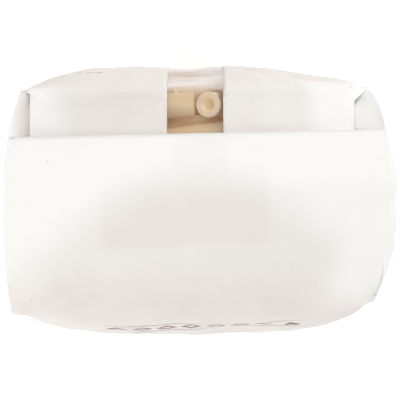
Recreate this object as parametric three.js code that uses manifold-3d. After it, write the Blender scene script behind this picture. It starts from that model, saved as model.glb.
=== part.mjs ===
// A closed paper bag of short tube pasta, in millimetres, with +Z up.
//
// The bag is one sheet of white paper: a tube with two gusset sides and a block bottom. Its mouth
// is pressed flat over the filling, with the gussets tucked in under it, and the flat end is folded
// back on the top as a fin and glued down. A clear strip in the back panel runs from the fin's edge,
// over the back edge of the top and down to the bottom, and the pasta behind it shows.
// The front is at -Y and the back at +Y, and the origin is the middle of the base.

import * as THREE from "three";
import { mergeVertices } from "three/addons/utils/BufferGeometryUtils.js";
import Module from "manifold-3d";

// Driving dimensions of the bag.
const PANEL_WIDTH = 100; // front and back panels, from crease to crease
const GUSSET_WIDTH = 60; // side panels, from crease to crease
const BAG_HEIGHT = 208; // up to the top of the fin
const BELLY_SIDE = 5.3; // how far the filling bows each side panel out between its creases
const BELLY_FACE = 8; // how far it bows the front and the back out
const CREASE_PULL = 0.9; // how far the bowed panels draw their creases in
const BELLY_POWER = 4; // how soon the walls leave the ends: higher is fuller
const BOW_POWER = 3.2; // how soon a panel leaves its creases: higher is flatter in the middle

// The top: its crown, and the folds that lie on it.
const CROWN_Y = 8; // the crown runs across the bag a little behind the middle
const TOP_CURVE = 0.0085; // fall of the top away from the crown, for each mm squared
const SIDE_FALL = 3; // fall of the top from the middle to the sides
const TUCK_STEP = 1.5; // the pressed mouth stands this far above the tucked gussets
const FIN_STEP = 1.2; // and the fin this far above the back half of the top
const FIN_EDGE_Y = 17.9; // the fin's cut edge, at the middle of the bag
const FIN_EDGE_SLANT = 0.021; // its rise towards the right, for each mm
const FLAP_LEFT = -50.6;
const FLAP_RIGHT = 49.6;
const FLAP_FRONT = -29; // where the flap runs into the front panel
const FLAP_TAPER = 0.05; // and how much narrower it is there
const BACK_HALF_LEFT = -45.6; // the back half of the top is narrower, so its tucks show
const BACK_HALF_RIGHT = 41;
const SUNK = 2; // how deep a fold's solid reaches into the body under it

// The clear strip and the room behind it.
const WINDOW_X = -1.3; // the strip's middle
const WINDOW_WIDTH = 15; // between the paper edges
const WINDOW_BOTTOM = 5; // the strip runs into the bottom fold here
const UNDER_FIN = 1; // and starts this far under the fin
const LIP = 1.2; // thickness of the paper edges over the room
const ROOM_WIDTH = 26;
const ROOM_DEPTH = 10.5;
const FILM_DEPTH = 0.4; // below the outside of the paper
const FILM_THICKNESS = 0.5;
const GAP = 0.3; // between separate pieces

// The pasta: short tubes with square-cut ends.
const TUBE_RADIUS = 3.8;
const TUBE_BORE = 2.1;
const TUBE_LENGTH = 27;
const TUBE_SIDES = 8;
const TUBE_PITCH = 7; // along the strip, from one tube to the next
const HEAP_DEPTH = 7; // the plain core of the heap starts this far below the paper
const TUBE_TIP = 0.55; // most that a tube leans out of the layer, in radians
const SEED = 7;

const wasm = await Module();
wasm.setup();

// Solid of a closed three.js geometry, with its shared vertices merged.
function solidOf(geometry) {
  const sameVertex = 1e-4;
  const bare = geometry.clone();
  bare.deleteAttribute("normal");
  bare.deleteAttribute("uv");
  const merged = mergeVertices(bare, sameVertex);
  return new wasm.Manifold(
    new wasm.Mesh({
      numProp: 3,
      vertProperties: new Float32Array(merged.attributes.position.array),
      triVerts: new Uint32Array(merged.index.array),
    }),
  );
}

// Named three.js mesh of a solid.
function meshOf(solid, name, material) {
  const { vertProperties, triVerts } = solid.getMesh();
  const geometry = new THREE.BufferGeometry();
  geometry.setAttribute("position", new THREE.BufferAttribute(vertProperties, 3));
  geometry.setIndex(new THREE.BufferAttribute(triVerts, 1));
  geometry.computeVertexNormals();
  const mesh = new THREE.Mesh(geometry, material);
  mesh.name = name;
  return mesh;
}

// Moves each vertex of a geometry to where place(x, y, z) says.
function reshape(geometry, place) {
  const position = geometry.attributes.position;
  for (let i = 0; i < position.count; i += 1) {
    position.setXYZ(i, ...place(position.getX(i), position.getY(i), position.getZ(i)));
  }
  return geometry;
}

// How far the walls have swelled at a share of the height: 0 at both ends, 1 at the belly.
function swell(share) {
  return 1 - Math.abs(2 * share - 1) ** BELLY_POWER;
}

// Height of the tucked gussets, which the folds of the top lie on.
function tuckHeight(x, y) {
  const crown = BAG_HEIGHT - TUCK_STEP - FIN_STEP;
  const sideways = SIDE_FALL * (x / (PANEL_WIDTH / 2)) ** 2;
  return crown - TOP_CURVE * (y - CROWN_Y) ** 2 - sideways;
}

// A point of the bag's outline at a share of its height, for across and along from -1 to 1.
// The four creases are at the corners, and each panel bows out between two of them.
function outlinePoint(across, along, share) {
  const full = swell(share);
  const bow = (place) => full * (1 - Math.abs(place) ** BOW_POWER);
  const creaseX = PANEL_WIDTH / 2 - CREASE_PULL * full;
  const creaseY = GUSSET_WIDTH / 2 - CREASE_PULL * full;
  return [across * (creaseX + BELLY_SIDE * bow(along)), along * (creaseY + BELLY_FACE * bow(across))];
}

// Half of the bag's depth at its middle.
function halfDepth(share) {
  return outlinePoint(0, 1, share)[1];
}

// The filled tube of paper, up to the tucked gussets.
function filledTube() {
  const across = 18;
  const along = 12;
  const up = 24;
  const box = new THREE.BoxGeometry(2, 2, 1, across, along, up).translate(0, 0, 0.5);
  return solidOf(
    reshape(box, (u, v, share) => {
      const [x, y] = outlinePoint(u, v, share);
      return [x, y, share * tuckHeight(...outlinePoint(u, v, 1))];
    }),
  );
}

// A fold that lies on the top, between two sides and from front to back(x), narrower at the front
// by a share, taper. Its upper face stands rise(y) above the tucked gussets.
function foldOnTop(left, right, front, back, taper, rise) {
  const across = 14;
  const along = 12;
  const box = new THREE.BoxGeometry(1, 1, 1, across, along, 1).translate(0.5, 0.5, 0.5);
  return solidOf(
    reshape(box, (u, v, upper) => {
      const x = THREE.MathUtils.lerp(left, right, u) * (1 - taper * (1 - v) ** 3);
      const y = THREE.MathUtils.lerp(front, back(x), v);
      return [x, y, tuckHeight(x, y) + (upper > 0.5 ? rise(y) : -SUNK)];
    }),
  );
}

function backHalfOfTop() {
  const edge = halfDepth(1) - GAP;
  return foldOnTop(BACK_HALF_LEFT, BACK_HALF_RIGHT, 0, () => edge, 0, () => TUCK_STEP);
}

// The front half of the top and the fin are one run of the front panel, which rises on to the back half.
function frontFlap() {
  const finEdge = (x) => FIN_EDGE_Y + FIN_EDGE_SLANT * x;
  const frontRun = 8; // the flap comes out of the front panel over this length
  const finRun = 10; // and climbs on to the back half over this one
  const rise = (y) =>
    TUCK_STEP * THREE.MathUtils.smoothstep(y, FLAP_FRONT, FLAP_FRONT + frontRun) +
    FIN_STEP * THREE.MathUtils.smoothstep(y, -finRun / 2, finRun / 2);
  return foldOnTop(FLAP_LEFT, FLAP_RIGHT, FLAP_FRONT, finEdge, FLAP_TAPER, rise);
}

// Points (y, z) of the strip's run at a depth below the outside of the paper: along the top from
// the fin, round the back edge, and down the back to the bottom fold.
function stripRun(depth, startY, bottomZ) {
  const topSteps = 4;
  const backSteps = 22;
  const backY = (share) => halfDepth(share) - depth;
  const topZ = (y) => tuckHeight(WINDOW_X, y) + TUCK_STEP - depth;
  const edgeY = backY(1);
  const points = [];
  for (let i = 0; i <= topSteps; i += 1) {
    const y = THREE.MathUtils.lerp(startY, edgeY, i / topSteps);
    points.push(new THREE.Vector2(y, topZ(y)));
  }
  const edgeZ = topZ(edgeY);
  const wallTop = tuckHeight(WINDOW_X, halfDepth(1));
  for (let i = 1; i <= backSteps; i += 1) {
    const z = THREE.MathUtils.lerp(edgeZ, bottomZ, i / backSteps);
    points.push(new THREE.Vector2(backY(Math.min(1, z / wallTop)), z));
  }
  return points;
}

// A solid along the strip, between two depths below the paper.
function alongStrip(outerDepth, innerDepth, width, startY, bottomZ) {
  const outer = stripRun(outerDepth, startY, bottomZ);
  const inner = stripRun(innerDepth, startY, bottomZ);
  const shape = new THREE.Shape([...outer, ...inner.reverse()]);
  const geometry = new THREE.ExtrudeGeometry(shape, { depth: width, bevelEnabled: false });
  const toBag = new THREE.Matrix4().makeBasis(
    new THREE.Vector3(0, 1, 0),
    new THREE.Vector3(0, 0, 1),
    new THREE.Vector3(1, 0, 0),
  );
  geometry.applyMatrix4(toBag).translate(WINDOW_X - width / 2, 0, 0);
  return solidOf(geometry);
}

function paperBag() {
  const underFin = FIN_EDGE_Y - UNDER_FIN;
  const outside = -3;
  const slot = alongStrip(outside, LIP + GAP, WINDOW_WIDTH, underFin, WINDOW_BOTTOM);
  const room = alongStrip(LIP, ROOM_DEPTH, ROOM_WIDTH, underFin, WINDOW_BOTTOM);
  return filledTube().add(backHalfOfTop()).subtract(slot).subtract(room).add(frontFlap());
}

const afterFin = FIN_EDGE_Y + 2 * GAP;

function windowFilm() {
  const width = WINDOW_WIDTH - 2 * GAP;
  return alongStrip(FILM_DEPTH, FILM_DEPTH + FILM_THICKNESS, width, afterFin, WINDOW_BOTTOM + GAP);
}

// Seeded draws from 0 to 1, the same on every run.
function seededDraws(seed) {
  let state = seed;
  return () => {
    state = (state * 1664525 + 1013904223) % 4294967296;
    return state / 4294967296;
  };
}

// One tube of pasta, its bore open at both ends, along its own Y.
function pastaTube() {
  const half = TUBE_LENGTH / 2;
  const wall = [
    new THREE.Vector2(TUBE_BORE, -half),
    new THREE.Vector2(TUBE_RADIUS, -half),
    new THREE.Vector2(TUBE_RADIUS, half),
    new THREE.Vector2(TUBE_BORE, half),
    new THREE.Vector2(TUBE_BORE, -half),
  ];
  return new THREE.LatheGeometry(wall, TUBE_SIDES);
}

// The heap behind the film: a plain core with the tubes that show fused on.
// A tube that would reach past the room is cut off at its wall, behind the paper.
function pastaHeap() {
  const draw = seededDraws(SEED);
  const width = ROOM_WIDTH - 2 * GAP;
  const bottom = WINDOW_BOTTOM + GAP;
  const room = alongStrip(LIP + 2 * GAP, ROOM_DEPTH - GAP, width, afterFin, bottom);
  let heap = alongStrip(HEAP_DEPTH, ROOM_DEPTH - GAP, width, afterFin, bottom);
  const edgeY = halfDepth(1);
  const edgeZ = tuckHeight(WINDOW_X, edgeY) + TUCK_STEP;
  const topRun = edgeY - afterFin;
  const backRun = edgeZ - bottom;
  for (let along = 0; along < topRun + backRun; along += TUBE_PITCH) {
    const onTop = along < topRun;
    const depth = LIP + 2 * GAP + TUBE_RADIUS + draw();
    const sideways = WINDOW_X + THREE.MathUtils.lerp(-1, 1, draw()) * (WINDOW_WIDTH / 2);
    const turn = draw() * Math.PI;
    const tip = THREE.MathUtils.lerp(-TUBE_TIP, TUBE_TIP, draw());
    const backZ = edgeZ - (along - topRun);
    const place = onTop
      ? new THREE.Vector3(sideways, afterFin + along, edgeZ - depth)
      : new THREE.Vector3(sideways, halfDepth(backZ / edgeZ) - depth, backZ);
    const lie = onTop ? new THREE.Euler(tip, 0, turn) : new THREE.Euler(0, turn, tip);
    const turned = new THREE.Matrix4().makeRotationFromEuler(lie).setPosition(place);
    heap = heap.add(solidOf(pastaTube().applyMatrix4(turned)));
  }
  const bodies = heap.intersect(room).decompose();
  return bodies.reduce((most, body) => (body.volume() > most.volume() ? body : most));
}

const paper = new THREE.MeshStandardMaterial({ color: 0xf6f3ef, roughness: 0.7, metalness: 0 });
const film = new THREE.MeshStandardMaterial({
  color: 0xf4f1ec,
  roughness: 0.08,
  metalness: 0,
  transparent: true,
  opacity: 0.25,
});
const dryPasta = new THREE.MeshStandardMaterial({ color: 0xd9bb88, roughness: 0.6, metalness: 0 });

const bagOfPasta = new THREE.Group();
bagOfPasta.add(
  meshOf(paperBag(), "paper_bag", paper),
  meshOf(windowFilm(), "window_film", film),
  meshOf(pastaHeap(), "pasta_heap", dryPasta),
);

export default bagOfPasta;
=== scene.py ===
import math

import bmesh
import bpy
import numpy as np
from mathutils import Matrix, Vector, noise


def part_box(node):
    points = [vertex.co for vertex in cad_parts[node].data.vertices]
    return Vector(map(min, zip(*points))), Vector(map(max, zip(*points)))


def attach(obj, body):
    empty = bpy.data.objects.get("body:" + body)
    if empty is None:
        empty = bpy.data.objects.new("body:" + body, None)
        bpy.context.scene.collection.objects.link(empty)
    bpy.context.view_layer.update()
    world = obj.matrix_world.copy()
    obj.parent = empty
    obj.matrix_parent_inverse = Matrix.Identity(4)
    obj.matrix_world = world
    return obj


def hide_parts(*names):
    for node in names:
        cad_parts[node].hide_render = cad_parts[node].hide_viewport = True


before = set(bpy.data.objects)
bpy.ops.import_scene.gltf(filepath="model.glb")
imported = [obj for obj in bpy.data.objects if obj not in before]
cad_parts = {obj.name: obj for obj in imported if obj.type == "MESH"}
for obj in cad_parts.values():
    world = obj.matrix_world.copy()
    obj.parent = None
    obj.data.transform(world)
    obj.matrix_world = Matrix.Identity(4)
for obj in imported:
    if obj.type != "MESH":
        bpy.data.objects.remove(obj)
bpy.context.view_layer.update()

# The paper bag: one sheet of white kraft paper, made into a tube with gusset sides and filled, so
# that each panel bows out between its creases. The mouth is pressed flat over the filling, with
# the gussets tucked in under it, and its flat end is folded back on the top and glued as a fin.
MM = 0.001
PANEL_WIDTH = 100 * MM
GUSSET_WIDTH = 60 * MM
PAPER = 0.2 * MM
BASE_RISE = 0.5 * MM  # the folded bottom flaps lie under the base
TUCK_STEP = 1.5 * MM  # from the tucked gussets up to the folds that lie on them
FIN_STEP = 1.2 * MM  # from those folds up to the fin
WALL, FLAP, BACK_HALF, TUCK, HEM, BOTTOM = range(6)  # the panels of the sheet
ON_EDGE = 0.999  # a vertex this far across or along a panel is on its edge

bag_high = Vector(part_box("paper_bag")[1])
CROWN = bag_high.z - TUCK_STEP - FIN_STEP


def lerp(low, high, share):
    return low + (high - low) * share


def ease(value, low, high):
    """0 up to low, 1 from high on, and a smooth climb between them."""
    share = min(1, max(0, (value - low) / (high - low)))
    return share * share * (3 - 2 * share)


def side_of(value):
    return 1 if value > 0 else -1


# The filled wall. Each quarter, (left or right, front or back), has its own bow and slip.
CREASE_PULL = 0.9 * MM
BELLY_SIDE = bag_high.x - PANEL_WIDTH / 2 + CREASE_PULL
BELLY_FACE = bag_high.y - GUSSET_WIDTH / 2 + CREASE_PULL
BELLY_POWER = 4
FRONT_FLATNESS = 0.9
SIDE_BOW_POWER = {(-1, -1): 3.2, (1, -1): 1.5, (1, 1): 1.6, (-1, 1): 2.2}
FACE_BOW_POWER = {(-1, -1): 5, (1, -1): 4, (1, 1): 2.4, (-1, 1): 5}
# How far the top's back edge and each top corner have slipped from their creases.
BACK_SLIP = 1.6 * MM
CORNER_SLIP = {
    (-1, -1): Vector((-0.8, -1.2)) * MM,
    (1, -1): Vector((-3.0, 2.5)) * MM,
    (1, 1): Vector((-5.0, 2.0)) * MM,
    (-1, 1): Vector((1.9, 1.2)) * MM,
}
NEAR_CREASE_POWER = 4
NEAR_TOP_POWER = 8


def outline(across, along, share):
    """Point of the bag's outline at a share of its height, for across and along from -1 to 1."""
    quarter = side_of(across), side_of(along)
    full = 1 - abs(2 * share - 1) ** BELLY_POWER
    bow_x = BELLY_SIDE * full * (1 - abs(along) ** SIDE_BOW_POWER[quarter])
    bow_y = BELLY_FACE * full * (1 - abs(across) ** FACE_BOW_POWER[quarter])
    bow_y *= FRONT_FLATNESS if along < 0 else 1
    x = across * (PANEL_WIDTH / 2 - CREASE_PULL * full + bow_x)
    y = along * (GUSSET_WIDTH / 2 - CREASE_PULL * full + bow_y)
    y -= BACK_SLIP * max(along, 0) ** NEAR_CREASE_POWER * share**NEAR_TOP_POWER
    near_corner = abs(across * along) ** NEAR_CREASE_POWER * share
    return Vector((x, y)) + CORNER_SLIP[quarter] * near_corner


# The top is a low dome over the filling, highest behind its middle.
CROWN_Y = 8 * MM
TOP_CURVE = 0.0085 / MM
SIDE_FALL = 3 * MM
SIDE_SINK = 0.9 * MM
SIDE_RISE = {-1: 0.4 * MM, 1: 0.9 * MM}
SIDE_RISES_ALONG = (-0.95, -0.65)
SIDE_ENDS_ALONG = (0.4, 0.6)
SIDE_EDGE_POWER = 30
BACK_EDGE_POWER = 40
CORNER_POWER = 8


def tuck_height(x, y):
    """Height of the tucked gussets, which the folds of the top lie on."""
    return CROWN - TOP_CURVE * (y - CROWN_Y) ** 2 - SIDE_FALL * (x / (PANEL_WIDTH / 2)) ** 2


def side_lift(across, along):
    """How far a gusset's top edge is above the tuck: up to the flap's side, down by the front."""
    lift = lerp(-SIDE_SINK, SIDE_RISE[side_of(across)], ease(along, *SIDE_RISES_ALONG))
    return lift * (1 - ease(along, *SIDE_ENDS_ALONG)) * abs(across) ** SIDE_EDGE_POWER


def wall_point(across, along, share):
    """Point of the wall: its back edge stands up to the back half of the top."""
    x, y = outline(across, along, share)
    rim = outline(across, along, 1)
    at_back = max(along, 0) ** BACK_EDGE_POWER * (1 - abs(across) ** CORNER_POWER)
    rim_height = tuck_height(*rim) + TUCK_STEP * at_back + side_lift(across, along)
    return Vector((x, y, lerp(BASE_RISE, rim_height, share)))


# The flap runs from the front edge of the top, round a soft bend, to the cut edge of the fin.
FIN_EDGE_Y = 17.9 * MM
FIN_EDGE_SLANT = 0.021
FIN_LEFT = -50.8 * MM
FIN_RIGHT = 49.3 * MM
FIN_STEP_Y = (-5 * MM, 5 * MM)
FLAP_RUN = 48 * MM
FLAP_SWELL = {-1: 2.0 * MM, 1: 2.7 * MM}
FLAP_LEVEL_RUN = 8 * MM
BEND_REACH = 14 * MM
CORNER_BEND_REACH = 5 * MM
BEND_NARROWS_ACROSS = (0.5, 1)


def flap_point(across, share):
    """Point of the flap, from the front edge of the top to the cut edge of the fin."""
    rim = outline(across, -1, 1)
    fin_x = lerp(FIN_LEFT, FIN_RIGHT, (across + 1) / 2)
    swell = FLAP_SWELL[side_of(across)] * across * math.sin(math.pi * share)
    x = lerp(rim.x, fin_x, share) + swell
    y = lerp(rim.y, FIN_EDGE_Y + FIN_EDGE_SLANT * x, share)
    level = ease(y, rim.y, rim.y + FLAP_LEVEL_RUN)
    lift = lerp(side_lift(across, -1), TUCK_STEP, level) + FIN_STEP * ease(y, *FIN_STEP_Y)
    return Vector((x, y, tuck_height(x, y) + lift))


def bend_point(before, edge, after, turned):
    """Point of a soft bend round an edge."""
    return before.lerp(edge, turned).lerp(edge.lerp(after, turned), turned)


def front_point(across, run):
    """Point of the front run of paper at a distance past the top's front edge, a soft bend."""
    reach = lerp(BEND_REACH, CORNER_BEND_REACH, ease(abs(across), *BEND_NARROWS_ACROSS))
    if run < -reach:
        return wall_point(across, -1, 1 + run / CROWN)
    if run > reach:
        return flap_point(across, run / FLAP_RUN)
    before = wall_point(across, -1, 1 - reach / CROWN)
    after = flap_point(across, reach / FLAP_RUN)
    return bend_point(before, wall_point(across, -1, 1), after, (run / reach + 1) / 2)


# The back half of the top ends under the fin. Its bend is a sharp crease at the film and at the
# corners, and soft between them.
BACK_HALF_LEFT = -45.6 * MM
BACK_HALF_RIGHT = 41.2 * MM
BACK_HALF_END = 3 * MM
BACK_HALF_RUN = 27 * MM
BACK_BEND_ACROSS = (0.3, 0.55, 0.85, 1)
BACK_BEND_REACH = (1.2 * MM, 4 * MM, 4 * MM, 1.2 * MM)
FOLD_IN = {-1: 0.05, 1: 0.16}
LEFT_PRESS = 0.45  # the left fold is pressed flatter on the tuck
LEFT_PRESS_ACROSS = (0.8, 1)
RIM_SETTLES = (0, 0.12)


def back_half_point(across, share):
    """Point of the back half of the top, from its back crease to its end under the fin."""
    left = lerp(outline(-1, 1, 1).x, BACK_HALF_LEFT, ease(share, 0, FOLD_IN[-1]))
    right = lerp(outline(1, 1, 1).x, BACK_HALF_RIGHT, ease(share, 0, FOLD_IN[1]))
    x = lerp(left, right, (across + 1) / 2)
    rim = wall_point(across, 1, 1)
    y = lerp(rim.y, BACK_HALF_END, share)
    step = TUCK_STEP * (1 - LEFT_PRESS * ease(-across, *LEFT_PRESS_ACROSS))
    lifted = lerp(rim.z - tuck_height(rim.x, rim.y), step, ease(share, *RIM_SETTLES))
    return Vector((x, y, tuck_height(x, y) + lifted))


def back_point(across, run):
    """Point of the back run of paper at a distance past the top's back edge."""
    reach = np.interp(abs(across), BACK_BEND_ACROSS, BACK_BEND_REACH)
    if run < -reach:
        return wall_point(across, 1, 1 + run / CROWN)
    if run > reach:
        return back_half_point(across, run / BACK_HALF_RUN)
    before = wall_point(across, 1, 1 - reach / CROWN)
    after = back_half_point(across, reach / BACK_HALF_RUN)
    return bend_point(before, wall_point(across, 1, 1), after, (run / reach + 1) / 2)


# The gussets are tucked in under the folds of the top, and stay clear of its two bends.
TUCK_REACH = 16 * MM
TUCK_DIP = 0.3 * MM
FRONT_SHY = 5 * MM
FRONT_SHY_ALONG = (0.5, 1)
FRONT_SHY_START = 0.1
FRONT_SHY_RUN = 0.25
FRONT_CORNER_ALONG = (0.85, 1)
BACK_SHY = 2.5 * MM
BACK_SHY_ALONG = (0.8, 1)
BACK_SHY_IN = (0.14, 0.35)


def tuck_point(side, along, share):
    """Point of a gusset where it is tucked in under the folds of the top."""
    rim = wall_point(side, along, 1)
    dip = TUCK_DIP * math.sin(share * math.pi / 2) * (1 - abs(along) ** CORNER_POWER)
    start = FRONT_SHY_START * (1 - ease(-along, *FRONT_CORNER_ALONG))
    past_start = ease(share, start, start + FRONT_SHY_RUN)
    front_shy = FRONT_SHY * ease(-along, *FRONT_SHY_ALONG) * past_start
    back_shy = BACK_SHY * ease(along, *BACK_SHY_ALONG) * ease(share, *BACK_SHY_IN)
    down = dip + front_shy + back_shy
    return rim + Vector((-side * TUCK_REACH * share, front_shy - back_shy, -down))


# The sheet starts as the base. Its rim is drawn up as the wall, and each panel on from there.
ROWS_ACROSS = 68
ROWS_ALONG = 42
ROWS_UP = 128
ROWS_FLAP = 38
ROWS_BACK = 22
ROWS_TUCK = 10
bag = bmesh.new()
across_of = bag.verts.layers.float.new("across")
along_of = bag.verts.layers.float.new("along")
layers_and_painted_light_of = bag.verts.layers.float.new("layers")
panel_of = bag.verts.layers.int.new("panel")
height_of = bag.verts.layers.float.new("sheet_height")
bmesh.ops.create_grid(bag, x_segments=ROWS_ACROSS, y_segments=ROWS_ALONG, size=1)
for vert in bag.verts:
    vert[across_of] = vert.co.x
    vert[along_of] = vert.co.y
    vert.co = wall_point(vert.co.x, vert.co.y, 0)
rim = [edge for edge in bag.edges if edge.is_boundary]


def extrude_row(edges, panel, place):
    """Extrudes a row of edges, puts each new vertex where place says, and gives the new row."""
    new = bmesh.ops.extrude_edge_only(bag, edges=edges)["geom"]
    verts = {item for item in new if isinstance(item, bmesh.types.BMVert)}
    for vert in verts:
        before = vert.co.copy()
        vert[panel_of] = panel
        vert.co = place(vert)
        vert[height_of] += (vert.co - before).length
    rows = [item for item in new if isinstance(item, bmesh.types.BMEdge)]
    return [edge for edge in rows if edge.verts[0] in verts and edge.verts[1] in verts]


def edges_at(edges, layer, value):
    return [edge for edge in edges if all(abs(vert[layer] - value) < 1e-4 for vert in edge.verts)]


def wall_place(vert, share):
    if vert[along_of] < -ON_EDGE:
        return front_point(vert[across_of], (share - 1) * CROWN)
    if vert[along_of] > ON_EDGE:
        return back_point(vert[across_of], (share - 1) * CROWN)
    return wall_point(vert[across_of], vert[along_of], share)


for row in range(1, ROWS_UP + 1):
    share = row / ROWS_UP
    rim = extrude_row(rim, WALL, lambda vert: wall_place(vert, share))
front_row = edges_at(rim, along_of, -1)
back_row = edges_at(rim, along_of, 1)
tuck_rows = {side: edges_at(rim, across_of, side) for side in (-1, 1)}
for row in range(1, ROWS_FLAP + 1):
    run = row / ROWS_FLAP * FLAP_RUN
    front_row = extrude_row(front_row, FLAP, lambda vert: front_point(vert[across_of], run))
for row in range(1, ROWS_BACK + 1):
    run = row / ROWS_BACK * BACK_HALF_RUN
    back_row = extrude_row(back_row, BACK_HALF, lambda vert: back_point(vert[across_of], run))
for side, tuck_row in tuck_rows.items():
    for row in range(1, ROWS_TUCK + 1):
        share = row / ROWS_TUCK
        tuck_row = extrude_row(tuck_row, TUCK, lambda vert: tuck_point(side, vert[along_of], share))

# The sides of the flap and of the back half are folds: the paper turns under there.
HEM_DROP = 0.7 * MM
HEM_REACH = 9 * MM
FRONT_HEM_SINK = 7 * MM
FRONT_HEM_Y = (15 * MM, 27 * MM)
BACK_HEM_SINK = 3.5 * MM
BACK_HEM_Y = (19 * MM, 26 * MM)


def hem_end(vert, side):
    """Where the turned-under paper ends: further in, and lower under the bends."""
    front_sink = FRONT_HEM_SINK * ease(-vert.co.y, *FRONT_HEM_Y)
    back_sink = BACK_HEM_SINK * ease(vert.co.y, *BACK_HEM_Y)
    return vert.co - Vector((side * HEM_REACH, 0, max(front_sink, back_sink)))


for panel in (FLAP, BACK_HALF):
    for side in (-1, 1):
        edges = edges_at([edge for edge in bag.edges if edge.is_boundary], across_of, side)
        hem = edges_at(edges, panel_of, panel)
        turn = Vector((side * HEM_DROP / 2, 0, HEM_DROP))
        hem = extrude_row(hem, HEM, lambda vert: vert.co - turn)
        extrude_row(hem, HEM, lambda vert: hem_end(vert, side))
bmesh.ops.recalc_face_normals(bag, faces=bag.faces)


def add_sheet(columns, rows):
    """Adds a loose sheet to the bag and gives its vertices, which lie from -1 to 1 each way."""
    made = len(bag.verts)
    bmesh.ops.create_grid(bag, x_segments=columns, y_segments=rows, size=1)
    bag.verts.ensure_lookup_table()
    return bag.verts[made:]


# The other layers of the flat mouth end under the fin, each cut a little short of the one above.
FIN_LAYERS = 2
FIN_LAYER_ROWS = 10
FIN_LAYER_STEP = 0.35 * MM
FIN_LAYER_WIDTH = 0.985
FIN_LAYER_START = 0.72
FIN_LAYER_CUT = 0.005
FIN_LAYER_SINK = 1.5 * MM
for layer in range(1, FIN_LAYERS + 1):
    for vert in add_sheet(ROWS_ACROSS, FIN_LAYER_ROWS):
        out = (vert.co.y + 1) / 2
        share = lerp(FIN_LAYER_START, 1 - FIN_LAYER_CUT * layer, out)
        below = FIN_LAYER_STEP * layer + FIN_LAYER_SINK * (1 - out)
        vert[across_of] = vert.co.x * FIN_LAYER_WIDTH
        vert[along_of] = -1
        vert[panel_of] = FLAP
        vert[height_of] = CROWN + FLAP_RUN * share
        vert.co = flap_point(vert[across_of], share) - Vector((0, 0, below))

# The block bottom is shut by two flaps, the back one glued over the front one.
BOTTOM_FLAP_REACH = 42 * MM
BOTTOM_FLAP_HALF_WIDTHS = (49 * MM, 35 * MM)  # at its crease and at its end
BOTTOM_FLAP_INSET = 0.4 * MM
BOTTOM_FLAP_HEIGHTS = {-1: 0.25 * MM, 1: 0}
BOTTOM_FLAP_ROWS = (24, 12)
for side, height in BOTTOM_FLAP_HEIGHTS.items():
    for vert in add_sheet(*BOTTOM_FLAP_ROWS):
        share = (vert.co.y + 1) / 2
        x = side * vert.co.x * lerp(*BOTTOM_FLAP_HALF_WIDTHS, share)
        y = side * (GUSSET_WIDTH / 2 - BOTTOM_FLAP_INSET - BOTTOM_FLAP_REACH * share)
        vert.co = (x, y, height)
        vert[panel_of] = BOTTOM
bag.normal_update()

# The filling and the hands that folded it leave the sheet in flat facets with soft creases between
# them, in its own flat coordinates: round the bag, and up the wall and on over the top.
CRUMPLE = {WALL: 1, FLAP: 0.3, BACK_HALF: 0.5, TUCK: 0.2, HEM: 0, BOTTOM: 0}
CALM_PAST_BEND = 9 * MM
CALM_BY_CREASE = 0.12
CALM_BY_GUSSET_CREASE = 0.2
CALM_BY_BASE = (1 * MM, 10 * MM)
FACETS = ((36 * MM, 1.0 * MM, 0.5), (15 * MM, 0.5 * MM, 1.1))  # size, height and turn
FACET_CELLS = 64
FACET_SWAY = 0.3
FACET_SWAY_PITCH = 1.7
FACET_SWAY_START = (0.4, 2.1)
RIDGES = ((30 * MM, 1.0 * MM), (12 * MM, 0.45 * MM))  # size and height
RIDGE_TOP = 0.3
BUMP_COUNT = 230
BUMP_HEIGHT = 0.4 * MM
BUMP_REACH = (9 * MM, 2.6 * MM)  # along and across a tube that presses on the paper
GUSSET_CREASE = 0.8 * MM
GUSSET_CREASE_REACH = 4 * MM
GIRTH = 2 * (PANEL_WIDTH + GUSSET_WIDTH)
crumple_draws = np.random.default_rng(27)


def sheet_place(vert):
    """Place of a vertex on the flat sheet: how far round the bag, and how far up."""
    across, along = vert[across_of], vert[along_of]
    if abs(along) >= abs(across):
        round_bag = across * PANEL_WIDTH / 2 if along < 0 else GIRTH / 2 - across * PANEL_WIDTH / 2
    else:
        round_bag = across * (GIRTH / 4 + along * GUSSET_WIDTH / 2)
    return round_bag, vert[height_of]


def facet_height(places, size, height, turn):
    """Height of a sheet creased into facets of about a size, at places on the flat sheet."""
    corners = crumple_draws.uniform(-height, height, (FACET_CELLS, FACET_CELLS))
    sway = np.sin(places[:, ::-1] / size * FACET_SWAY_PITCH + FACET_SWAY_START) * FACET_SWAY
    cosine, sine = math.cos(turn), math.sin(turn)
    turned = places @ np.array([[cosine, -sine], [sine, cosine]]) / size + sway
    cell = np.floor(turned).astype(int)
    u, v = (turned - cell).T
    column, row = (cell % FACET_CELLS).T
    next_column, next_row = ((cell + 1) % FACET_CELLS).T
    low, high = corners[column, row], corners[next_column, next_row]
    right, up = corners[next_column, row], corners[column, next_row]
    near = low + (right - low) * u + (up - low) * v
    far = high + (up - high) * (1 - u) + (right - high) * (1 - v)
    return np.where(u + v < 1, near, far)


def tube_bumps(places):
    """Height of the long bumps where tubes press on the paper from inside."""
    total = np.zeros(len(places))
    for _ in range(BUMP_COUNT):
        spot = crumple_draws.uniform((-GIRTH / 2, 0), (GIRTH / 2, bag_high.z))
        turn = crumple_draws.uniform(0, math.pi)
        apart = places - spot
        along = apart @ (math.cos(turn), math.sin(turn)) / BUMP_REACH[0]
        aside = apart @ (-math.sin(turn), math.cos(turn)) / BUMP_REACH[1]
        total = np.maximum(total, np.exp(-(along**4) - aside**2))
    return total * BUMP_HEIGHT


def ridge_height(place):
    """Height of the sharp ridges that wander over a handled sheet."""
    total = 0
    for size, height in RIDGES:
        total += height * (RIDGE_TOP - abs(noise.noise(Vector((*place, 0)) / size)))
    return total


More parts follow.
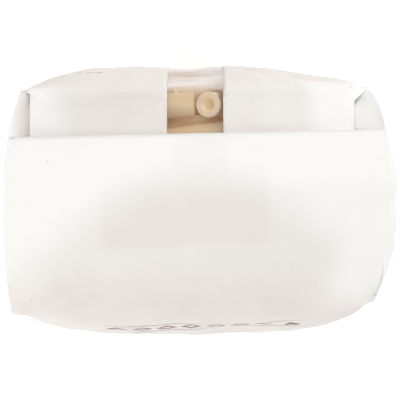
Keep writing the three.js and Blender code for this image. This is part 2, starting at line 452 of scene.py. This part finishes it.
def crease_calm(vert):
    """0 at a crease or a fold, which stays straight, and 1 away from it."""
    across, along = abs(vert[across_of]), abs(vert[along_of])
    if along >= across:
        return ease(1 - across, 0, CALM_BY_CREASE)
    return ease(1 - along, 0, CALM_BY_GUSSET_CREASE)


def crumple_share(vert):
    """How much a panel crumples: the top grows calmer past its bends."""
    calm = CRUMPLE[vert[panel_of]]
    if vert[panel_of] not in (FLAP, BACK_HALF):
        return calm
    past_bend = GUSSET_WIDTH / 2 - abs(vert.co.y)
    return lerp(CRUMPLE[WALL], calm, ease(past_bend, 0, CALM_PAST_BEND))


# Buckles of the top that stand out from above: panel, points from above, width and height in mm.
BUCKLES = (
    (BACK_HALF, ((-8.6, 31), (-9.9, 28), (-13.3, 23.5), (-17.5, 21.5)), 2.0, 0.6),
    (BACK_HALF, ((8.5, 21.6), (14.5, 20.8), (24, 19.6)), 1.0, 0.35),
    (FLAP, ((-34, -20.2), (-29.5, -21.3)), 0.8, 0.35),
    (FLAP, ((-31, -25.3), (-27, -23.2), (-23, -22)), 0.9, 0.45),
    (FLAP, ((-24.5, -19), (-19.5, -18.6)), 0.8, 0.35),
    (FLAP, ((20.5, -29), (23.5, -29.8)), 0.7, 0.35),
)


def apart_from(spot, start, end):
    """Distance of a spot from the line between two others."""
    run = end - start
    share = min(1, max(0, (spot - start).dot(run) / run.length_squared))
    return (spot - start - run * share).length


def buckle_height(vert):
    total = 0
    for panel, points, width, height in BUCKLES:
        if vert[panel_of] == panel:
            spots = [Vector(point) * MM for point in points]
            gap = min(apart_from(vert.co.xy, *ends) for ends in zip(spots, spots[1:]))
            total += height * MM * math.exp(-((gap / (width * MM)) ** 2))
    return total


places = np.array([sheet_place(vert) for vert in bag.verts])
crumple = tube_bumps(places)
for size, height, turn in FACETS:
    crumple += facet_height(places, size, height, turn)
crumple += [ridge_height(place) for place in places]
for vert, height in zip(bag.verts, crumple):
    moved = float(height) * crumple_share(vert) * crease_calm(vert) + buckle_height(vert)
    if vert[panel_of] == WALL and abs(vert[across_of]) > ON_EDGE:
        from_middle = abs(vert[along_of]) * GUSSET_WIDTH / 2
        moved -= GUSSET_CREASE * max(0, 1 - from_middle / GUSSET_CREASE_REACH)
    vert.co += vert.normal * moved * ease(vert.co.z, *CALM_BY_BASE)
bag.normal_update()

# How much paper lies at a place: 0 is one layer tight on pasta, LOOSE one loose layer, 1 several.
# On the tucks the amount is painted shade and light instead.
# A field is an amount, where it begins and where it is full. Places here are in mm.
LOOSE = 0.3
LEFT_CORNER = (0.6, 33, 44)
RIGHT_CORNER = (0.95, 24, 42)
CORNERS_AT_FRONT = 0.35
CORNERS_FRONT_Y = (-31, -20)
FLAP_LOOSE = (0.47, -30, -17)
# The fin's layers lie behind three lines with soft corners: a point of each and its way out.
FIN_LINES = (
    (Vector((-20, -0.5)), Vector((-0.63, 0.776))),
    (Vector((18.7, 0.7)), Vector((0.648, 0.76))),
    (Vector((0, 3)), Vector((0, 1))),
)
FIN_LINES_MEET = 4
FIN_FULL = (-4, 10)
# Less paper lies in a patch of the flap, and over the film.
PATCH = 0.16
PATCH_X = (-27, 19)
PATCH_Y = (-13, -11.5)
PATCH_SLANT = 0.04
PATCH_EDGE = (0, 1.5)
OVER_FILM = 0.12
OVER_FILM_X = (-8, 9)
OVER_FILM_Y = (-2, 4)
OVER_FILM_EDGE = (0, 2)
BACK_LOOSE = (0.28, 0.42)
BACK_LOOSE_X = (-16, 10)
BACK_LEFT = ((0.08, 22, 30), (0.6, 32, 43))
BACK_RIGHT = (0.1, 15, 19)
BACK_RIGHT_FOLD = (0.45, 26, 33)
BACK_RIGHT_SLANT = 0.1
BACK_RIGHT_Y = 24
# Painted shade on the left tuck and painted light on the right one, for how the light falls on
# them.
TUCK_PAINTED_SHADE_AND_LIGHT = {-1: 0.2, 1: 1}
BOTTOM_LAYERS = 0.6
BASE_FOLD = (0.3, -9, -3)
GUSSET_TOP = 0.5
GUSSET_EDGE = (0.9, 1)
UNDER_TOP_Z = (120, 190)
BACK_PANEL = 0.12
BACK_TOP_Z = (180, 206)


def field(value, amount, begins, full):
    return amount * ease(value, begins, full)


def within(value, ends, edge):
    """1 between two ends and 0 outside them, with soft edges on the inside."""
    return ease(value - ends[0], *edge) * ease(ends[1] - value, *edge)


def flap_layers(x, y, corners):
    outs = [(Vector((x, y)) - point).dot(way) for point, way in FIN_LINES]
    out = FIN_LINES_MEET * math.log(sum(math.exp(part / FIN_LINES_MEET) for part in outs))
    patch = PATCH * ease(y - PATCH_SLANT * x, *PATCH_Y) * within(x, PATCH_X, PATCH_EDGE)
    over_film = OVER_FILM * within(x, OVER_FILM_X, OVER_FILM_EDGE) * ease(y, *OVER_FILM_Y)
    return max(corners, lerp(field(y, *FLAP_LOOSE) - patch, 1 - over_film, ease(out, *FIN_FULL)))


def layers_and_painted_light_at(vert):
    """How much paper lies at a vertex, and the painted shade and light of the tucks."""
    x, y, z = vert.co / MM
    panel = vert[panel_of]
    at_front = lerp(CORNERS_AT_FRONT, 1, ease(y, *CORNERS_FRONT_Y))
    corners = max(field(-x, *LEFT_CORNER), field(x, *RIGHT_CORNER)) * at_front
    if panel == FLAP:
        return flap_layers(x, y, corners)
    # The tucks and the hems under their folds get the tucks' painted shade and light.
    if panel in (TUCK, HEM):
        return TUCK_PAINTED_SHADE_AND_LIGHT[side_of(x)]
    if panel == BOTTOM:
        return BOTTOM_LAYERS
    left = sum(field(-x, *part) for part in BACK_LEFT)
    fold = field(x + BACK_RIGHT_SLANT * (y - BACK_RIGHT_Y), *BACK_RIGHT_FOLD)
    back = lerp(*BACK_LOOSE, ease(x, *BACK_LOOSE_X)) + left + field(x, *BACK_RIGHT) + fold
    if panel == BACK_HALF:
        return back
    under_top = ease(z, *UNDER_TOP_Z)
    near_base = field(-z, *BASE_FOLD)
    if vert[along_of] < -ON_EDGE:
        return lerp(LOOSE, corners, under_top) + near_base
    if vert[along_of] > ON_EDGE:
        return lerp(BACK_PANEL, back, ease(z, *BACK_TOP_Z)) + near_base
    return LOOSE + GUSSET_TOP * under_top * ease(abs(vert[across_of]), *GUSSET_EDGE) + near_base


for vert in bag.verts:
    vert[layers_and_painted_light_of] = layers_and_painted_light_at(vert)

# The back panel has a slot, which runs from under the fin, over the back edge of the top and down
# to the bottom fold. The film behind it takes its shape from the sheet before the cut.
WINDOW_X = -1.3 * MM
WINDOW_WIDTH = 15 * MM
WINDOW_BOTTOM = 5 * MM


def back_faces(shell):
    """Faces of the back panel and of the back half of the top, without its turned-under sides."""
    return [
        face
        for face in shell.faces
        if abs(face.calc_center_median().x) < PANEL_WIDTH / 4
        and all(vert[shell.verts.layers.float["along"]] > ON_EDGE for vert in face.verts)
        and face.calc_center_median().z > BASE_RISE * 2
    ]


def split_at(shell, point, normal):
    faces = back_faces(shell)
    edges = {edge for face in faces for edge in face.edges}
    verts = {vert for face in faces for vert in face.verts}
    bmesh.ops.bisect_plane(
        shell, geom=[*faces, *edges, *verts], dist=1e-6, plane_co=point, plane_no=normal
    )


def strip_faces(shell, half_width, bottom):
    """Cuts the back along a strip's edges and gives the faces between them."""
    for side in (-1, 1):
        split_at(shell, Vector((WINDOW_X + side * half_width, 0, 0)), Vector((1, 0, 0)))
    split_at(shell, Vector((0, 0, bottom)), Vector((0, 0, 1)))
    between = []
    for face in back_faces(shell):
        centre = face.calc_center_median()
        if abs(centre.x - WINDOW_X) < half_width and centre.z > bottom:
            between.append(face)
    return between


film = bag.copy()
slot = strip_faces(bag, WINDOW_WIDTH / 2, WINDOW_BOTTOM)
bmesh.ops.delete(bag, geom=slot, context="FACES")

SHARP_FROM = math.radians(40)


def add_piece(name, shell, material, thickness=None):
    """Makes a mesh the named piece of the bag, with a thickness laid on its inside."""
    mesh = bpy.data.meshes.new(name)
    shell.to_mesh(mesh)
    shell.free()
    mesh.shade_smooth()
    mesh.set_sharp_from_angle(angle=SHARP_FROM)
    mesh.materials.append(material)
    piece = bpy.data.objects.new(name, mesh)
    bpy.context.scene.collection.objects.link(piece)
    if thickness:
        solidify = piece.modifiers.new("thickness", "SOLIDIFY")
        solidify.thickness = thickness
        solidify.offset = -1
    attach(piece, "root")
    return piece


class Wire:
    """A socket in a material's node tree. Arithmetic on wires adds Math nodes to the tree."""

    def __init__(self, tree, socket=None):
        self.tree = tree
        self.socket = socket

    def add(self, kind, settings, inputs, output=0):
        """Adds a node with its settings, then the values or wires of its sockets."""
        node = self.tree.nodes.new(kind)
        for name, value in settings.items():
            setattr(node, name, value)
        for name, value in inputs.items():
            if isinstance(value, Wire):
                self.tree.links.new(value.socket, node.inputs[name])
            else:
                node.inputs[name].default_value = value
        return Wire(self.tree, node.outputs[output] if node.outputs else None)

    def maths(self, operation, *values):
        return self.add("ShaderNodeMath", {"operation": operation}, dict(enumerate(values)))

    def __add__(self, other):
        return self.maths("ADD", self, other)

    def __sub__(self, other):
        return self.maths("SUBTRACT", self, other)

    def __rsub__(self, other):
        return self.maths("SUBTRACT", other, self)

    def __mul__(self, other):
        return self.maths("MULTIPLY", self, other)

    def __truediv__(self, other):
        return self.maths("DIVIDE", self, other)

    def __pow__(self, other):
        return self.maths("POWER", self, other)

    def __lt__(self, other):
        return self.maths("LESS_THAN", self, other)

    def __gt__(self, other):
        return self.maths("GREATER_THAN", self, other)

    def __or__(self, other):
        return self.maths("MAXIMUM", self, other)

    def __abs__(self):
        return self.maths("ABSOLUTE", self)

    __radd__ = __add__
    __rmul__ = __mul__

    def axes(self):
        return [self.add("ShaderNodeSeparateXYZ", {}, {"Vector": self}, axis) for axis in "XYZ"]

    def between(self, low, high):
        return (self > low) * (self < high)

    def grain(self, size, detail=2):
        """Noise with features of a real size, where this wire is a place."""
        inputs = {"Vector": self, "Scale": 1 / size, "Detail": detail}
        return self.add("ShaderNodeTexNoise", {}, inputs)

    def specks(self, spacing):
        """Distance from the nearest of some scattered spots, as a share of their spacing."""
        inputs = {"Vector": self, "Scale": 1 / spacing}
        return self.add("ShaderNodeTexVoronoi", {}, inputs, "Distance")

    def mix(self, factor, first, second):
        inputs = {0: factor, 6: first, 7: second}
        return self.add("ShaderNodeMix", {"data_type": "RGBA"}, inputs, 2)

    def bump(self, height, distance):
        return self.add("ShaderNodeBump", {}, {"Height": height, "Distance": distance}, "Normal")

    def principled(self, inputs):
        return self.add("ShaderNodeBsdfPrincipled", {}, inputs)

    def finish(self, shader):
        """Makes a shader the material's surface."""
        self.add("ShaderNodeOutputMaterial", {}, {"Surface": shader})


def blank_material(name):
    material = bpy.data.materials.new(name)
    material.use_nodes = True
    material.node_tree.nodes.clear()
    return material, Wire(material.node_tree)


TIGHT_PAPER = (0.775, 0.718, 0.672, 1)
LOOSE_PAPER = (0.80, 0.755, 0.72, 1)
LAYERED_PAPER = (0.925, 0.916, 0.893, 1)
CLOUD_SIZE = 9 * MM
CLOUD_STRENGTH = 0.2
FIBRE_SIZE = 0.5 * MM
FIBRE_STRENGTH = 0.15
FIBRE_RELIEF = 0.02
CRINKLE_SIZE = 6 * MM
CRINKLE_TOP = 0.3
CRINKLE_RELIEF = 0.2
SPECK_BROWN = (0.35, 0.24, 0.17, 1)
SPECK_SPACING = 11 * MM
SPECK_REACH = 0.024
SPECK_STRENGTH = 0.45

paper_white, tree = blank_material("white_kraft")
place = tree.add("ShaderNodeTexCoord", {}, {}, "Object")
x, y, z = place.axes()
# The layers attribute also carries the painted shade and light of the tucks.
layers = tree.add("ShaderNodeAttribute", {"attribute_name": "layers"}, {}, "Fac")
cloudy = place.grain(CLOUD_SIZE) - 0.5
fibres = place.grain(FIBRE_SIZE, 4) - 0.5
crinkle = CRINKLE_TOP - abs(place.grain(CRINKLE_SIZE, 1) - 0.5)
amount = layers + cloudy * CLOUD_STRENGTH + fibres * FIBRE_STRENGTH
one_layer = tree.mix(amount / LOOSE, TIGHT_PAPER, LOOSE_PAPER)
paper_colour = tree.mix((amount - LOOSE) / (1 - LOOSE), one_layer, LAYERED_PAPER)
speck = (place.specks(SPECK_SPACING) < SPECK_REACH) * SPECK_STRENGTH
paper_colour = tree.mix(speck, paper_colour, SPECK_BROWN)

# The print is plain ornament: a border of lozenges, and an ear of grain in an oval.
PLUM = (0.17, 0.055, 0.075, 1)
PLUM_STRENGTH = 0.92
OCHRE = (0.56, 0.36, 0.14, 1)
OCHRE_STRENGTH = 0.85
LOZENGE_LINE = (0.45, 0.9)
BORDER_X = 1 * MM
BORDER_Z = 168 * MM
BORDER_HALF = 27 * MM
BORDER_LOZENGES = 8
BORDER_LOZENGE_HALF = 4.8 * MM
RULE_APART = 6.6 * MM
RULE_HALF = 0.35 * MM
EAR_Z = 100 * MM
OVAL_HALVES = (25 * MM, 36 * MM)
OVAL_LINE = 1 * MM
STEM_HALF = 0.45 * MM
STEM_ENDS = (EAR_Z - 27 * MM, EAR_Z + 18 * MM)
GRAIN_HALVES = (2 * MM, 5 * MM)
GRAIN_PAIRS = 5
GRAIN_STEP = 6.4 * MM
GRAIN_ASIDE = 3.8 * MM
GRAIN_TURN = 0.55
LOW_GRAIN_Z = EAR_Z - 10 * MM
TOP_GRAIN_Z = EAR_Z + 21 * MM
MARKS_Z = 163 * MM
MARKS_X = -30.5 * MM
MARKS = 3
MARK_WIDTH = 2.6 * MM
MARK_HALF = 3.4 * MM
BACK_RULE_X = (7.5 * MM, 16 * MM)
BACK_RULE_HALF = 1 * MM


def lozenge_row(middle_x, middle_z, count, pitch, half_height):
    """Marks a row of open lozenges on the front or the back."""
    step = (x - middle_x) / pitch + count / 2
    aside = abs(step.maths("FRACT", step) - 0.5) * 2
    ring = aside + abs(z - middle_z) / half_height
    return ring.between(*LOZENGE_LINE) * step.between(0, count)


def oval(middle_x, middle_z, half_width, half_height, turn=0):
    """Marks an oval, turned to the right by an angle."""
    aside, above = x - middle_x, z - middle_z
    wide = aside * math.cos(turn) - above * math.sin(turn)
    high = aside * math.sin(turn) + above * math.cos(turn)
    return (wide / half_width) ** 2 + (high / half_height) ** 2 < 1


on_front = y < -GUSSET_WIDTH / 3
on_back = y > GUSSET_WIDTH / 3
rules = abs(abs(z - BORDER_Z) - RULE_APART) < RULE_HALF
lozenge_width = 2 * BORDER_HALF / BORDER_LOZENGES
border = lozenge_row(BORDER_X, BORDER_Z, BORDER_LOZENGES, lozenge_width, BORDER_LOZENGE_HALF)
border = border | rules * (abs(x - BORDER_X) < BORDER_HALF)
oval_inside = oval(0, EAR_Z, *(half - OVAL_LINE for half in OVAL_HALVES))
oval_line = oval(0, EAR_Z, *OVAL_HALVES) - oval_inside
stem = (abs(x) < STEM_HALF) * z.between(*STEM_ENDS)
grains = oval(0, TOP_GRAIN_Z, *GRAIN_HALVES)
for pair in range(GRAIN_PAIRS):
    for side in (-1, 1):
        grain_z = LOW_GRAIN_Z + pair * GRAIN_STEP
        grains = grains | oval(side * GRAIN_ASIDE, grain_z, *GRAIN_HALVES, side * GRAIN_TURN)
back_marks = lozenge_row(MARKS_X, MARKS_Z, MARKS, MARK_WIDTH, MARK_HALF)
back_rule = x.between(*BACK_RULE_X) * (abs(z - MARKS_Z) < BACK_RULE_HALF)
plum_print = on_front * (border | oval_line | stem) | on_back * back_marks
ochre_print = on_front * grains | on_back * back_rule
paper_colour = tree.mix(plum_print * PLUM_STRENGTH, paper_colour, PLUM)
paper_colour = tree.mix(ochre_print * OCHRE_STRENGTH, paper_colour, OCHRE)
relief = tree.bump(crinkle * CRINKLE_RELIEF + fibres * FIBRE_RELIEF, MM)
tree.finish(tree.principled({"Base Color": paper_colour, "Roughness": 0.62, "Normal": relief}))

bag_piece = add_piece("bag_paper", bag, paper_white, PAPER)
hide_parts("paper_bag")

# The clear strip: a thin glossy film, glued behind the slot in the back panel. It is wider than
# the slot, and bends with the paper.
FILM_MARGIN = 3 * MM
FILM_DEPTH = 0.3 * MM
FILM = 0.05 * MM
FILM_GLOSS = (0.66, 0.61, 0.58, 1)
SHINE_HEAD_ON = 0.012
SHINE_EDGE_ON = 0.9
SHINE_POWER = 4

kept = set(strip_faces(film, WINDOW_WIDTH / 2 + FILM_MARGIN, WINDOW_BOTTOM - FILM_MARGIN))
bmesh.ops.delete(film, geom=[face for face in film.faces if face not in kept], context="FACES")
film.normal_update()
for vert in film.verts:
    vert.co -= vert.normal * FILM_DEPTH

film_clear, tree = blank_material("clear_film")
facing = tree.add("ShaderNodeLayerWeight", {}, {"Blend": 0.5}, "Facing")
gloss = tree.principled({"Base Color": FILM_GLOSS, "Metallic": 1.0, "Roughness": 0.12})
through = tree.add("ShaderNodeBsdfTransparent", {}, {})
shine = SHINE_HEAD_ON + SHINE_EDGE_ON * facing**SHINE_POWER
tree.finish(tree.add("ShaderNodeMixShader", {}, {0: shine, 1: through, 2: gloss}))
film_piece = add_piece("window_strip", film, film_clear, FILM)
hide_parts("window_film")

# The pasta behind the strip: short smooth tubes of dried durum dough, cut square, which lie at
# random where they fell. Only those that can be seen are made, packed till none crosses another.
TUBE_RADIUS = 3.5 * MM
TUBE_BORE = 1.7 * MM
TUBE_LENGTH = 27 * MM
TUBE_SOFT = 0.25 * MM  # of the worn edges of the cut ends
TUBE_COUNT = 84
TUBE_SIDES = 24
SLACK = 2.5 * MM  # between the paper and the pasta, which its dents need
BED_DEPTH = 19 * MM  # of the tubes' middle lines
BED_LOW = Vector((-19, 8, 4.5)) * MM
BED_HIGH = Vector((17, 34, 202)) * MM
LIE_ALONG = (1, 0.3, 1)  # most tubes lie along the paper
RELAX_PASSES = 400
TOUCH = 0.3 * MM
STRAY = 0.5 * MM
STRIP_TOP_Y = 24 * MM
# The tubes that the view from above shows: a spot on the middle line, direction, share of the
# tube behind the spot, and shade.
top_at_strip = tuck_height(0, STRIP_TOP_Y) + TUCK_STEP
# The shown tubes' shades are partly painted light and shade: the ring tube is paler to lift its
# shaded side, the band under the fin's edge and the filler in the gap darker.
SHOWN_TUBES = (
    (Vector((2.2 * MM, 25.6 * MM, top_at_strip - 3 * MM)), Vector((-0.32, 0.03, 0.95)), 1.0, 2.8),
    (Vector((-1.6 * MM, 25.4 * MM, top_at_strip - 4.9 * MM)), Vector((0.99, 0.04, 0.1)), 1.0, 0.1),
    (Vector((-1 * MM, 16.7 * MM, top_at_strip - 4.3 * MM)), Vector((0.99, 0.12, 0.02)), 0.5, -0.4),
    (Vector((-1.5 * MM, 18.4 * MM, top_at_strip - 11.2 * MM)), Vector((0.99, 0.02, 0)), 0.6, -0.5),
    (Vector((-5 * MM, 27.7 * MM, top_at_strip - 11.8 * MM)), Vector((0.9, 0.25, 0.35)), 1.0, 0.5),
)


def inside_of_bag(x, y, z):
    """The y of the back panel and the z of the top at a place behind the strip."""
    back = outline(x / (PANEL_WIDTH / 2), 1, min(1, max(0, z / CROWN))).y
    return back, tuck_height(x, y) + TUCK_STEP


def keep_in_bed(point):
    """Moves the end of a tube into the bed of pasta behind the film."""
    back, top = inside_of_bag(*point)
    most = np.array((BED_HIGH.x, back - SLACK - TUBE_RADIUS, top - SLACK - TUBE_RADIUS))
    point[:] = np.clip(point, BED_LOW, most)
    short = most[1:] - BED_DEPTH - point[1:]
    if short.min() > 0:
        point[1 + short.argmin()] += short.min()


def stray(point):
    """How far the end of a tube is from the bed."""
    kept = point.copy()
    keep_in_bed(kept)
    return np.linalg.norm(kept - point)


def dots(first, second):
    return np.einsum("ij,ij->i", first, second)


def nearest(starts, ends, first, second):
    """Where along two tubes each pair comes closest, and the gap between them there."""
    run_one = ends[first] - starts[first]
    run_two = ends[second] - starts[second]
    between = starts[first] - starts[second]
    one, two, cross = dots(run_one, run_one), dots(run_two, run_two), dots(run_one, run_two)
    part_one, part_two = dots(run_one, between), dots(run_two, between)
    spread = np.maximum(one * two - cross * cross, 1e-12)
    share_one = np.clip((cross * part_two - part_one * two) / spread, 0, 1)
    share_two = np.clip((cross * share_one + part_two) / two, 0, 1)[:, None]
    share_one = np.clip((cross * share_two[:, 0] - part_one) / one, 0, 1)[:, None]
    gap = starts[first] + run_one * share_one - (starts[second] + run_two * share_two)
    return share_one, share_two, gap


draws = np.random.default_rng(20)
middles = draws.uniform(BED_LOW, BED_HIGH, (TUBE_COUNT, 3))
headings = draws.normal(size=(TUBE_COUNT, 3)) * LIE_ALONG
headings /= np.linalg.norm(headings, axis=1)[:, None]
starts = middles - headings * TUBE_LENGTH / 2
ends = middles + headings * TUBE_LENGTH / 2
free = np.ones((TUBE_COUNT, 1))
shades = draws.uniform(size=TUBE_COUNT)
for index, (spot, heading, behind, shade) in enumerate(SHOWN_TUBES):
    run = heading.normalized() * TUBE_LENGTH
    starts[index] = spot - run * behind
    ends[index] = spot + run * (1 - behind)
    free[index] = 0
    shades[index] = shade
first, second = np.triu_indices(TUBE_COUNT, 1)
for _ in range(RELAX_PASSES):
    share_one, share_two, gap = nearest(starts, ends, first, second)
    distance = np.linalg.norm(gap, axis=1)[:, None] + 1e-9
    overlap = np.maximum(0, 2 * TUBE_RADIUS - distance)
    pushed = gap / distance * overlap / 2
    move_start = np.zeros_like(starts)
    move_end = np.zeros_like(ends)
    np.add.at(move_start, first, pushed * (1 - share_one))
    np.add.at(move_end, first, pushed * share_one)
    np.add.at(move_start, second, -pushed * (1 - share_two))
    np.add.at(move_end, second, -pushed * share_two)
    starts += move_start * free
    ends += move_end * free
    for index in range(len(SHOWN_TUBES), TUBE_COUNT):
        keep_in_bed(starts[index])
        keep_in_bed(ends[index])
        middle = (starts[index] + ends[index]) / 2
        heading = ends[index] - starts[index]
        heading *= TUBE_LENGTH / 2 / np.linalg.norm(heading)
        starts[index] = middle - heading
        ends[index] = middle + heading

# A tube that still crosses another, or lies outside the bed, is left out.
kept_tubes = list(range(len(SHOWN_TUBES)))
for index in range(len(SHOWN_TUBES), TUBE_COUNT):
    others = np.array(kept_tubes, int)
    gap = nearest(starts, ends, np.full(len(others), index), others)[2]
    clear = np.linalg.norm(gap, axis=1) > 2 * TUBE_RADIUS - TOUCH
    strayed = max(stray(starts[index]), stray(ends[index]))
    if strayed < STRAY and all(clear):
        kept_tubes.append(index)

tube = bmesh.new()
half = TUBE_LENGTH / 2
wall = [
    (TUBE_BORE + TUBE_SOFT, half),
    (TUBE_RADIUS - TUBE_SOFT, half),
    (TUBE_RADIUS, half - TUBE_SOFT),
    (TUBE_RADIUS, half / 3),
    (TUBE_RADIUS, -half / 3),
    (TUBE_RADIUS, TUBE_SOFT - half),
    (TUBE_RADIUS - TUBE_SOFT, -half),
    (TUBE_BORE + TUBE_SOFT, -half),
    (TUBE_BORE, TUBE_SOFT - half),
    (TUBE_BORE, half - TUBE_SOFT),
]
ring = [tube.verts.new((radius, 0, height)) for radius, height in wall]
profile = [tube.edges.new((ring[i - 1], ring[i])) for i in range(len(ring))]
bmesh.ops.spin(
    tube,
    geom=ring + profile,
    axis=(0, 0, 1),
    cent=(0, 0, 0),
    steps=TUBE_SIDES,
    angle=2 * math.pi,
    use_merge=True,
)
bmesh.ops.recalc_face_normals(tube, faces=tube.faces)
tube_mesh = bpy.data.meshes.new("tube")
tube.to_mesh(tube_mesh)
tube.free()

BORE_SHADE = 4  # marks the bore, past every shade of a tube
pasta = bmesh.new()
shade_of = pasta.verts.layers.float.new("shade")
for index in kept_tubes:
    made = len(pasta.verts)
    pasta.from_mesh(tube_mesh)
    pasta.verts.ensure_lookup_table()
    heading = Vector(ends[index] - starts[index])
    turn = heading.to_track_quat("Z", "Y").to_matrix().to_4x4()
    spot = Matrix.Translation(Vector((starts[index] + ends[index]) / 2))
    verts = pasta.verts[made:]
    for vert in verts:
        # The bores are marked for painted light: a paler colour and a stronger glow.
        painted_lit_bore = vert.co.xy.length < TUBE_BORE + TUBE_SOFT / 2
        vert[shade_of] = BORE_SHADE if painted_lit_bore else shades[index]
    bmesh.ops.transform(pasta, matrix=spot @ turn, verts=verts)
bpy.data.meshes.remove(tube_mesh)

# Behind the tubes that are made, the rest of the heap shows only as an uneven bed.
CORE_DEPTH = 18 * MM
CORE_EDGE_DEPTH = 2.5 * MM
CORE_EDGE = 13 * MM
CORE_HALF = 20 * MM
CORE_FRONT = 6 * MM
CORE_FOOT_Z = (3 * MM, 8 * MM)
CORE_LUMP = 1.5 * MM
CORE_LUMP_SIZE = 6 * MM
# The bed is painted a darker tone, as painted shade for the depth of the heap.
CORE_SHADE = -0.6
CORE_ROWS = (26, 120)
made = len(pasta.verts)
bmesh.ops.create_grid(pasta, x_segments=CORE_ROWS[0], y_segments=CORE_ROWS[1], size=1)
pasta.verts.ensure_lookup_table()
core_top = inside_of_bag(WINDOW_X, GUSSET_WIDTH / 2, CROWN)[1]
top_run = GUSSET_WIDTH / 2 - CORE_FRONT
for vert in pasta.verts[made:]:
    aside = vert.co.x * CORE_HALF
    run = (vert.co.y + 1) / 2 * (top_run + core_top - 2 * BASE_RISE)
    x = WINDOW_X + aside
    y = CORE_FRONT + run
    z = core_top - max(0, run - top_run)
    depth = lerp(CORE_DEPTH, CORE_EDGE_DEPTH, ease(abs(aside), CORE_EDGE, CORE_HALF))
    depth = lerp(CORE_EDGE_DEPTH, depth, ease(z, *CORE_FOOT_Z))
    depth += CORE_LUMP * noise.noise(Vector((aside, run, 0)) / CORE_LUMP_SIZE)
    back, top = inside_of_bag(x, min(y, GUSSET_WIDTH / 2), z)
    vert.co = (x, min(y, back - depth), min(z, top - depth))
    vert[shade_of] = CORE_SHADE

DOUGH_LIGHT = (0.78, 0.65, 0.48, 1)
DOUGH_DARK = (0.62, 0.44, 0.24, 1)
# Painted light: the bores are paler, as if lit through their thin walls.
DOUGH_BORE_PAINTED_LIGHT = (0.93, 0.80, 0.60, 1)
# Painted light: all the dough glows a little, and the bores more, in place of light that has passed
# through the dough and fills the gaps and the bores with its colour.
GAP_LIGHT = (0.05, 0.026, 0.008, 1)
BORE_LIGHT = (0.094, 0.085, 0.063, 1)
FLOUR_SIZE = 0.7 * MM
FLOUR_RELIEF = 0.05 * MM
FLOUR_STRENGTH = 0.5
PATCHES_SIZE = 5 * MM
PATCHES_STRENGTH = 0.3
SHADE_STRENGTH = 0.3
dough, tree = blank_material("dry_dough")
place = tree.add("ShaderNodeTexCoord", {}, {}, "Object")
shade = tree.add("ShaderNodeAttribute", {"attribute_name": "shade"}, {}, "Fac")
flour = place.grain(FLOUR_SIZE, 4)
patches = place.grain(PATCHES_SIZE)
paleness = shade * SHADE_STRENGTH + flour * FLOUR_STRENGTH + patches * PATCHES_STRENGTH
painted_lit_bore = shade - BORE_SHADE + 1
dough_colour = tree.mix(painted_lit_bore, tree.mix(paleness, DOUGH_DARK, DOUGH_LIGHT), DOUGH_BORE_PAINTED_LIGHT)
dough_shader = tree.principled(
    {
        "Base Color": dough_colour,
        "Roughness": 0.6,
        "Emission Color": tree.mix(painted_lit_bore, GAP_LIGHT, BORE_LIGHT),
        "Emission Strength": 1.0,
        "Normal": tree.bump(flour, FLOUR_RELIEF),
    }
)
tree.finish(dough_shader)
pasta_piece = add_piece("pasta_tubes", pasta, dough)
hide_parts("pasta_heap")

# The stage: a white sweep under soft lamps, and a camera high above that looks down.
FLOOR_HALF = 4
SKY = 0.4
# Name, place, size in metres and watts of each lamp.
LAMPS = (
    ("overhead", Vector((0.05, 0.2, 1.7)), 1.3, 9),
    ("from_left", Vector((-0.9, -0.68, 0.6)), 0.7, 6.5),
    ("from_right", Vector((0.75, 0.82, 0.58)), 0.7, 5.7),
    ("from_front", Vector((0.7, -0.95, 0.6)), 0.7, 1.5),
)
CAMERA_ABOVE = 1.5
VIEW_WIDTH = 106.7 * MM
SENSOR = 36

floor = bmesh.new()
bmesh.ops.create_grid(floor, x_segments=1, y_segments=1, size=FLOOR_HALF)
floor_mesh = bpy.data.meshes.new("floor")
floor.to_mesh(floor_mesh)
floor.free()
floor_white, tree = blank_material("white_floor")
floor_shader = tree.principled(
    {
        "Base Color": (0.85, 0.85, 0.85, 1),
        "Roughness": 0.8,
        "Emission Color": (1, 1, 1, 1),
        "Emission Strength": 0.3,
    }
)
tree.finish(floor_shader)
floor_mesh.materials.append(floor_white)
floor_piece = bpy.data.objects.new("floor", floor_mesh)
scene = bpy.context.scene
scene.collection.objects.link(floor_piece)

scene.world = bpy.data.worlds.new("studio")
scene.world.use_nodes = True
sky = scene.world.node_tree.nodes["Background"]
sky.inputs["Color"].default_value = (1, 1, 1, 1)
sky.inputs["Strength"].default_value = SKY
for name, spot, size, watts in LAMPS:
    light = bpy.data.lights.new(name, "AREA")
    light.shape = "DISK"
    light.size = size
    light.energy = watts
    lamp = bpy.data.objects.new(name, light)
    lamp.location = spot
    aim = Vector((0, 0, bag_high.z / 2)) - spot
    lamp.rotation_euler = aim.to_track_quat("-Z", "Y").to_euler()
    scene.collection.objects.link(lamp)
camera_data = bpy.data.cameras.new("camera")
camera_data.sensor_width = SENSOR
camera_data.lens = SENSOR * CAMERA_ABOVE / VIEW_WIDTH
camera = bpy.data.objects.new("camera", camera_data)
camera.location = (0, 0, bag_high.z + CAMERA_ABOVE)
scene.collection.objects.link(camera)
scene.camera = camera
scene.view_settings.view_transform = "Standard"
